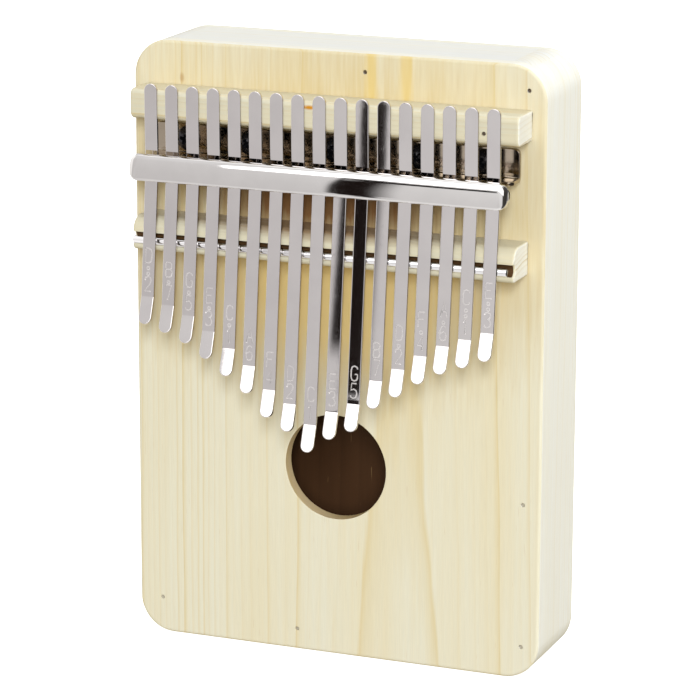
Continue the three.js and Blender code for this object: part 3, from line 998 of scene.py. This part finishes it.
def bracket_screw(index, centre):
    """A button head with a cross in it, on a threaded shank."""
    x, z, surface = centre.x, centre.z, FRONT - BRACKET_THICK
    head, radius, rim = 3.0, 3.8, 0.45
    full = radians(78)
    pairs = [(0, -head)]
    for i in range(1, 9):
        angle = full * i / 8
        level = (cos(angle) - cos(full)) / (1 - cos(full))
        wide = radius * 0.98 * sin(angle) / sin(full)
        pairs.append((wide, -rim - (head - rim) * level))
    pairs += [(radius, -0.3), (radius, -0.1), (radius - 0.1, 0), (1.5, 0), (1.5, 1.2)]
    pairs += [(1.5, 9), (1.1, 11), (0, 13)]
    thread = (1.2, 11, 1.1, 0.32)
    name = f"round_screw_{index}"
    made = turned(name, (x, surface, z), (0, 1, 0), pairs, black_steel, 40, thread)
    turn = 0.35 + index * 0.9
    cut(made, [cross_cutter(x, surface - head, z, BRACKET_SCREW_CROSS, turn)])
    shade(made.data, 35)
    in_metres(made)
    place(made, "box", f"bracket_screw_{index}")


def press_screw(index, centre):
    """A machine screw from behind the inner block, threaded up to its end in the press bar."""
    low, high = extent(f"press_screw_{index}")
    seat = BLOCK_HIGH.y
    head = high.y - seat
    reach = seat - low.y
    pairs = [(0, -head + 0.5), (1.2, -head + 0.4), (1.3, -head), (2.0, -head), (2.3, -head + 0.35)]
    pairs += [(2.3, -0.1), (2.2, 0), (1.0, 0), (1.0, 2), (1.0, reach - 0.5), (0.6, reach), (0, reach)]
    thread = (2, reach, 0.6, 0.16)
    start = (centre.x, seat, centre.z)
    name = f"long_screw_{index}"
    made = in_metres(turned(name, start, (0, -1, 0), pairs, screw_steel, 24, thread))
    place(made, "box", f"press_screw_{index}")


for i, centre in enumerate(BRACKET_SCREWS, 1):
    bracket_screw(i, centre)
for i, centre in enumerate(PRESS_SCREWS, 1):
    press_screw(i, centre)


# ---- The tines ----

# Each key's note: its letter, its scale number and how many dots (octaves) it carries.
NOTES = "D2: B7. G5. E3. C1. A6 F4 D2 C1 E3 G5 B7 D2. F4. A6. C1: E3:".split()

# Strokes of the stamped marks, as points in a frame 1 wide and 2 tall.
BOWL = "1,1.6 .85,1.88 .5,2 .15,1.86 0,1.45 0,.55 .15,.14 .5,0"
STROKES = {
    "A": "0,0 .5,2 1,0; .18,.72 .82,.72",
    "B": "0,0 0,2 .6,2 .9,1.85 .95,1.52 .88,1.2 .6,1.05 0,1.05; "
    ".6,1.05 .92,.88 1,.52 .9,.16 .6,0 0,0",
    "C": BOWL + " .85,.12 1,.4",
    "D": "0,0 0,2 .5,2 .85,1.82 1,1.4 1,.6 .85,.18 .5,0 0,0",
    "E": "1,2 0,2 0,0 1,0; 0,1.03 .8,1.03",
    "F": "1,2 0,2 0,0; 0,1.03 .8,1.03",
    "G": BOWL + " .85,.12 1,.4 1,.9 .55,.9",
    "1": ".2,1.55 .55,2 .55,0",
    "2": "0,1.5 .12,1.85 .5,2 .88,1.85 1,1.48 .85,1.05 0,0 1,0",
    "3": "0,1.7 .2,1.93 .5,2 .85,1.86 .95,1.52 .8,1.18 .45,1.05; "
    ".45,1.05 .85,.93 1,.55 .86,.14 .5,0 .16,.08 0,.35",
    "4": ".75,0 .75,2 0,.62 1,.62",
    "5": ".9,2 .14,2 .06,1.08 .5,1.24 .88,1.06 1,.62; 1,.62 .86,.15 .5,0 .15,.1 0,.35",
    "6": ".9,1.76 .55,2 .2,1.8 .02,1.2 0,.6 .15,.13 .5,0; .5,0 .86,.13 1,.6 .85,1.04 .5,1.2 .06,.9",
    "7": "0,2 1,2 .4,0",
}
MARK_WIDTH = 2.0
MARK_HEIGHT = 4.4
MARK_DOT = 0.45
MARK_GAP = 0.75
MARK_DEPTH = 0.19
MARK_FOOT = 1.6
STROKE = 0.25
DOTS = {"": 0, ".": 1, ":": 2}


def strokes(symbol):
    """A symbol's strokes, as lists of points."""
    lines = [line.split() for line in STROKES[symbol].split(";")]
    return [[tuple(float(value) for value in point.split(",")) for point in line] for line in lines]


def mark_strokes(note, foot):
    """Stroke lines of one key's mark in (x, s), from its foot (the largest s) upwards."""
    lines = []
    at = foot
    for symbol in (note[1], note[0]):
        for stroke in strokes(symbol):
            lines.append([((a - 0.5) * MARK_WIDTH, at - b * MARK_HEIGHT / 2) for a, b in stroke])
        at -= MARK_HEIGHT + MARK_GAP
        if symbol == note[1]:
            for _ in range(DOTS[note[2:]]):
                lines.append(arc((0, at - 0.1), MARK_DOT, 0, 360, 10))
                at -= 2 * MARK_DOT + MARK_GAP
    return lines


def mark_cutter(lines, surface):
    """Round bars along the lines, sunk MARK_DEPTH into the surface."""
    curve = bpy.data.curves.new("mark", "CURVE")
    curve.dimensions = "3D"
    curve.bevel_depth = STROKE
    curve.bevel_resolution = 1
    curve.use_fill_caps = True
    lift = STROKE - MARK_DEPTH
    for line in lines:
        closed = (Vector(line[0]) - Vector(line[-1])).length < 1e-6
        if closed:
            line = line[:-1]
        spline = curve.splines.new("POLY")
        spline.points.add(len(line) - 1)
        spline.use_cyclic_u = closed
        for point, (x, s) in zip(spline.points, line):
            point.co = (x, s, surface + lift, 1)
    holder = linked("mark", curve)
    mesh = applied(holder)
    bpy.data.objects.remove(holder)
    bpy.data.curves.remove(curve)
    mesh.materials.clear()
    mesh.materials.append(engraving)
    repair(mesh, MARK_WELD, dissolve=False)
    return linked("mark_cutter", mesh)


def tine(key, note):
    """A key: a flat strip from the rest bar, under the press bar, over the rod, to its bent tip."""
    low, high = extent(f"tine_{key:02d}")
    rod_crest = ROD_HEIGHT + ROD_RADIUS + CLEARANCE
    slope = (rod_crest - PRESSED_HEIGHT) / (PRESSED_Z - ROD_Z)
    tip_slope = tan(atan(slope) + TIP_BEND)
    bend_z = low.z + TIP_LENGTH
    bend_height = PRESSED_HEIGHT + (PRESSED_Z - bend_z) * slope
    rest = REST_HEIGHT + CLEARANCE
    path = Path(
        [
            (rest, high.z, 0),
            (rest, REST_LOW.z, REST_CURVE),
            (PRESSED_HEIGHT, PRESSED_Z, PRESS_CURVE),
            (bend_height, bend_z, TIP_CURVE),
            (bend_height + TIP_LENGTH * tip_slope, low.z + TIP_SPARE, 0),
        ]
    )
    half = (high.x - low.x) / 2
    made = strip(f"key_{key:02d}_tine", path, half, half, TINE_THICK, TINE_EASE, [nickel, engraving])
    foot = path.length - TIP_LENGTH / cos(atan(tip_slope)) - MARK_FOOT
    cut(made, [mark_cutter(mark_strokes(note, foot), TINE_THICK)], True)
    bend(made, path, (low.x + high.x) / 2)
    shade(made.data, 40)
    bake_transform(made)
    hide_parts(f"tine_{key:02d}")


for key, note in enumerate(NOTES, 1):
    tine(key, note)


# ---- Stage, light and camera ----

WHITE = (1, 1, 1)
COOL = (0.78, 0.86, 1.0)
FLOOR_SIDE = 8.0
UPRIGHT = Vector((0, 0, 1))
CARD_COLOUR = (0.012, 0.008, 0.007)
CARD_AXIS = Vector((1, -0.4, 0)).normalized()
CARD_MIDDLE = Vector((-0.408, -1.13, 0.0))
BOX_MIDDLE = (0, 0, 0.1)

# The studio's brightness: by height (0 straight down, 0.5 level, 1 straight up), and SIDEWAYS from
# left to right.
MIRRORED = [
    (0.0, (0.98, 0.97, 0.96)),
    (0.28, (0.95, 0.94, 0.93)),
    (0.35, (0.81, 0.795, 0.79)),
    (0.48, (0.80, 0.785, 0.78)),
    (0.61, (0.90, 0.89, 0.885)),
    (0.8, WHITE),
]
SIDEWAYS = [
    (0.0, (1.25, 1.24, 1.23)),
    (0.15, (1.2, 1.19, 1.18)),
    (0.22, (0.74, 0.72, 0.72)),
    (0.27, (0.74, 0.72, 0.72)),
    (0.36, WHITE),
    (0.62, WHITE),
    (0.74, (0.09, 0.085, 0.08)),
    (1.0, (0.06, 0.055, 0.05)),
]
SKYLIGHT = [
    (0.0, (0.40, 0.32, 0.17)),
    (0.5, (0.33, 0.27, 0.15)),
    (0.75, (0.33, 0.27, 0.16)),
    (1.0, (0.28, 0.24, 0.16)),
]


def sheet(name, width, height):
    """A flat rectangle's mesh, in metres."""
    a, b = width / 2, height / 2
    mesh = bpy.data.meshes.new(name)
    mesh.from_pydata([(-a, -b, 0), (a, -b, 0), (a, b, 0), (-a, b, 0)], [], [(0, 1, 2, 3)])
    return mesh


def hide(made, *rays):
    """Hides an object from these kinds of rays."""
    for ray in rays:
        setattr(made, f"visible_{ray}", False)


def card_material(name, sides, ends):
    """A dark glow that fades to clear towards the card's edges."""
    material = bpy.data.materials.new(name)
    material.use_nodes = True
    nodes = Nodes(material.node_tree)
    nodes.tree.nodes.clear()
    spot = nodes.split(nodes.add("ShaderNodeTexCoord").outputs["Generated"])
    cover = 1.0
    for axis, (low, high) in (("X", sides), ("Y", ends)):
        for edge, start in ((0.0, low), (1.0, high)):
            level = nodes.spread(spot[axis], edge, start, kind="SMOOTHSTEP")
            cover = nodes.math("MULTIPLY", cover, level)
    glow = nodes.add("ShaderNodeEmission", {"Color": (*CARD_COLOUR, 1), "Strength": 1.0})
    clear = nodes.add("ShaderNodeBsdfTransparent")
    mixed = nodes.add("ShaderNodeMixShader", {0: cover, 1: clear.outputs[0], 2: glow.outputs[0]})
    nodes.add("ShaderNodeOutputMaterial", {0: mixed.outputs[0]})
    return material


def dark_card(name, left, right, low, high, sides, ends, lean=0.0):
    """A dark card in a plane in front of the keys, with edges in mm, seen only in reflections.

    sides and ends are where, from 0 to 1 across and up the card, it starts to fade.
    """
    across = (CARD_AXIS - UPRIGHT * lean).normalized()
    up = UPRIGHT + CARD_AXIS * lean
    upwards = (up - across * across.dot(up)).normalized()
    middle = CARD_MIDDLE + CARD_AXIS * ((left + right) / 2) * MM + UPRIGHT * ((low + high) / 2 * MM)
    made = linked(name, sheet(name, (right - left) * MM, (high - low) * MM))
    made.data.materials.append(card_material(name, sides, ends))
    turn = Matrix((across, upwards, across.cross(upwards))).transposed().to_4x4()
    made.matrix_world = Matrix.Translation(middle) @ turn
    hide(made, "camera", "diffuse", "shadow", "transmission")


def area(name, location, target, width, height, radiance, colour=COOL, hidden=("glossy",)):
    """A rectangular light, by its brightness. Most are hidden from reflections."""
    light = bpy.data.lights.new(name, "AREA")
    light.shape = "RECTANGLE"
    light.size, light.size_y = width, height
    light.energy = radiance * pi * width * height
    light.color = colour
    made = linked(name, light)
    made.location = location
    made.rotation_mode = "QUATERNION"
    made.rotation_quaternion = (Vector(target) - Vector(location)).to_track_quat("-Z", "Y")
    hide(made, "camera", *hidden)


def studio():
    """A white studio. Mirrors see a grey band at the horizon; plain surfaces get soft skylight."""
    world = bpy.data.worlds.new("studio")
    bpy.context.scene.world = world
    world.use_nodes = True
    nodes = Nodes(world.node_tree)
    direction = nodes.split(nodes.add("ShaderNodeTexCoord").outputs["Generated"])

    def graded(axis, stops):
        return nodes.ramp(nodes.spread(direction[axis], -1, 1), stops)

    mirrored = nodes.mix(1.0, graded("Z", MIRRORED), graded("X", SIDEWAYS), "MULTIPLY")
    ray = nodes.add("ShaderNodeLightPath")
    seen = nodes.mix(ray.outputs["Is Glossy Ray"], graded("Z", SKYLIGHT), mirrored)
    seen = nodes.mix(ray.outputs["Is Camera Ray"], seen, WHITE)
    nodes.feed(nodes.tree.nodes["Background"], "Color", seen)


floor_shader = Shader("floor_white")
for key, value in (
    ("Base Color", (0.93, 0.93, 0.93, 1)),
    ("Emission Color", (*WHITE, 1)),
    ("Emission Strength", 0.75),
    ("Roughness", 0.9),
):
    floor_shader.feed(floor_shader.surface, key, value)
floor = linked("floor", sheet("floor", FLOOR_SIDE, FLOOR_SIDE))
floor.data.materials.append(floor_shader.material)
hide(floor, "glossy", "diffuse")

area("mirror_light", (0.252, -0.9, 0.80), (0.252, 0.0, 0.5), 1.457, 0.9, 1.45, WHITE, ("diffuse",))
area("front_light", (1.04, -2.6, 1.05), BOX_MIDDLE, 0.6, 1.2, 39.4)
area("top_light", (0.1, 0.1, 1.5), (0, 0, 0), 1.6, 1.6, 0.3, WHITE, ())
area("roof_light", (0.0, 0.4, 1.5), BOX_MIDDLE, 1.2, 1.2, 2.3)
area("right_light", (1.3, 0.1, 0.5), BOX_MIDDLE, 1.2, 1.0, 2.8)
area("left_light", (-1.7, 0.2, 0.12), BOX_MIDDLE, 1.0, 0.2, 14)
area("back_light", (-0.5, 1.9, 0.12), BOX_MIDDLE, 1.4, 0.2, 21)

dark_card("dark_card_key_10", -19, -9.5, 16, 128, (0.3, 0.999), (0.16, 0.999))
dark_card("dark_card_key_11", -9.6, 11, -5, 128, (0.001, 0.62), (0.03, 0.999))
dark_card("dark_card_mark", -5.5, 2, -36, -4, (0.15, 0.85), (0.04, 0.999))
dark_card("dark_card_bar", -26, 24, 126, 430, (0.11, 0.5), (0.001, 0.9))
dark_card("dark_card_rear", -24.1, -6.1, -330, -38, (0.08, 0.92), (0.02, 0.995), 0.06)
dark_card("dark_card_line", -20, 110, 335, 380, (0.1, 0.7), (0.25, 0.75))

studio()

bpy.context.scene.view_settings.view_transform = "Standard"

AZIMUTH, ELEVATION, ROLL = radians(21.845), radians(14.3), radians(0.166)
DISTANCE = 1.04344
TARGET = Vector((0.0037, -0.01378, 0.09519))
level = cos(ELEVATION)
backwards = Vector((sin(AZIMUTH) * level, -cos(AZIMUTH) * level, sin(ELEVATION)))
lens = bpy.data.cameras.new("camera")
lens.sensor_width = 36
lens.lens = 180.34
lens.clip_start, lens.clip_end = 0.05, 20
camera = linked("camera", lens)
camera.location = TARGET + backwards * DISTANCE
turn = (-backwards).to_track_quat("-Z", "Y").to_matrix() @ Matrix.Rotation(ROLL, 3, "Z")
camera.rotation_euler = turn.to_euler()
bpy.context.scene.camera = camera
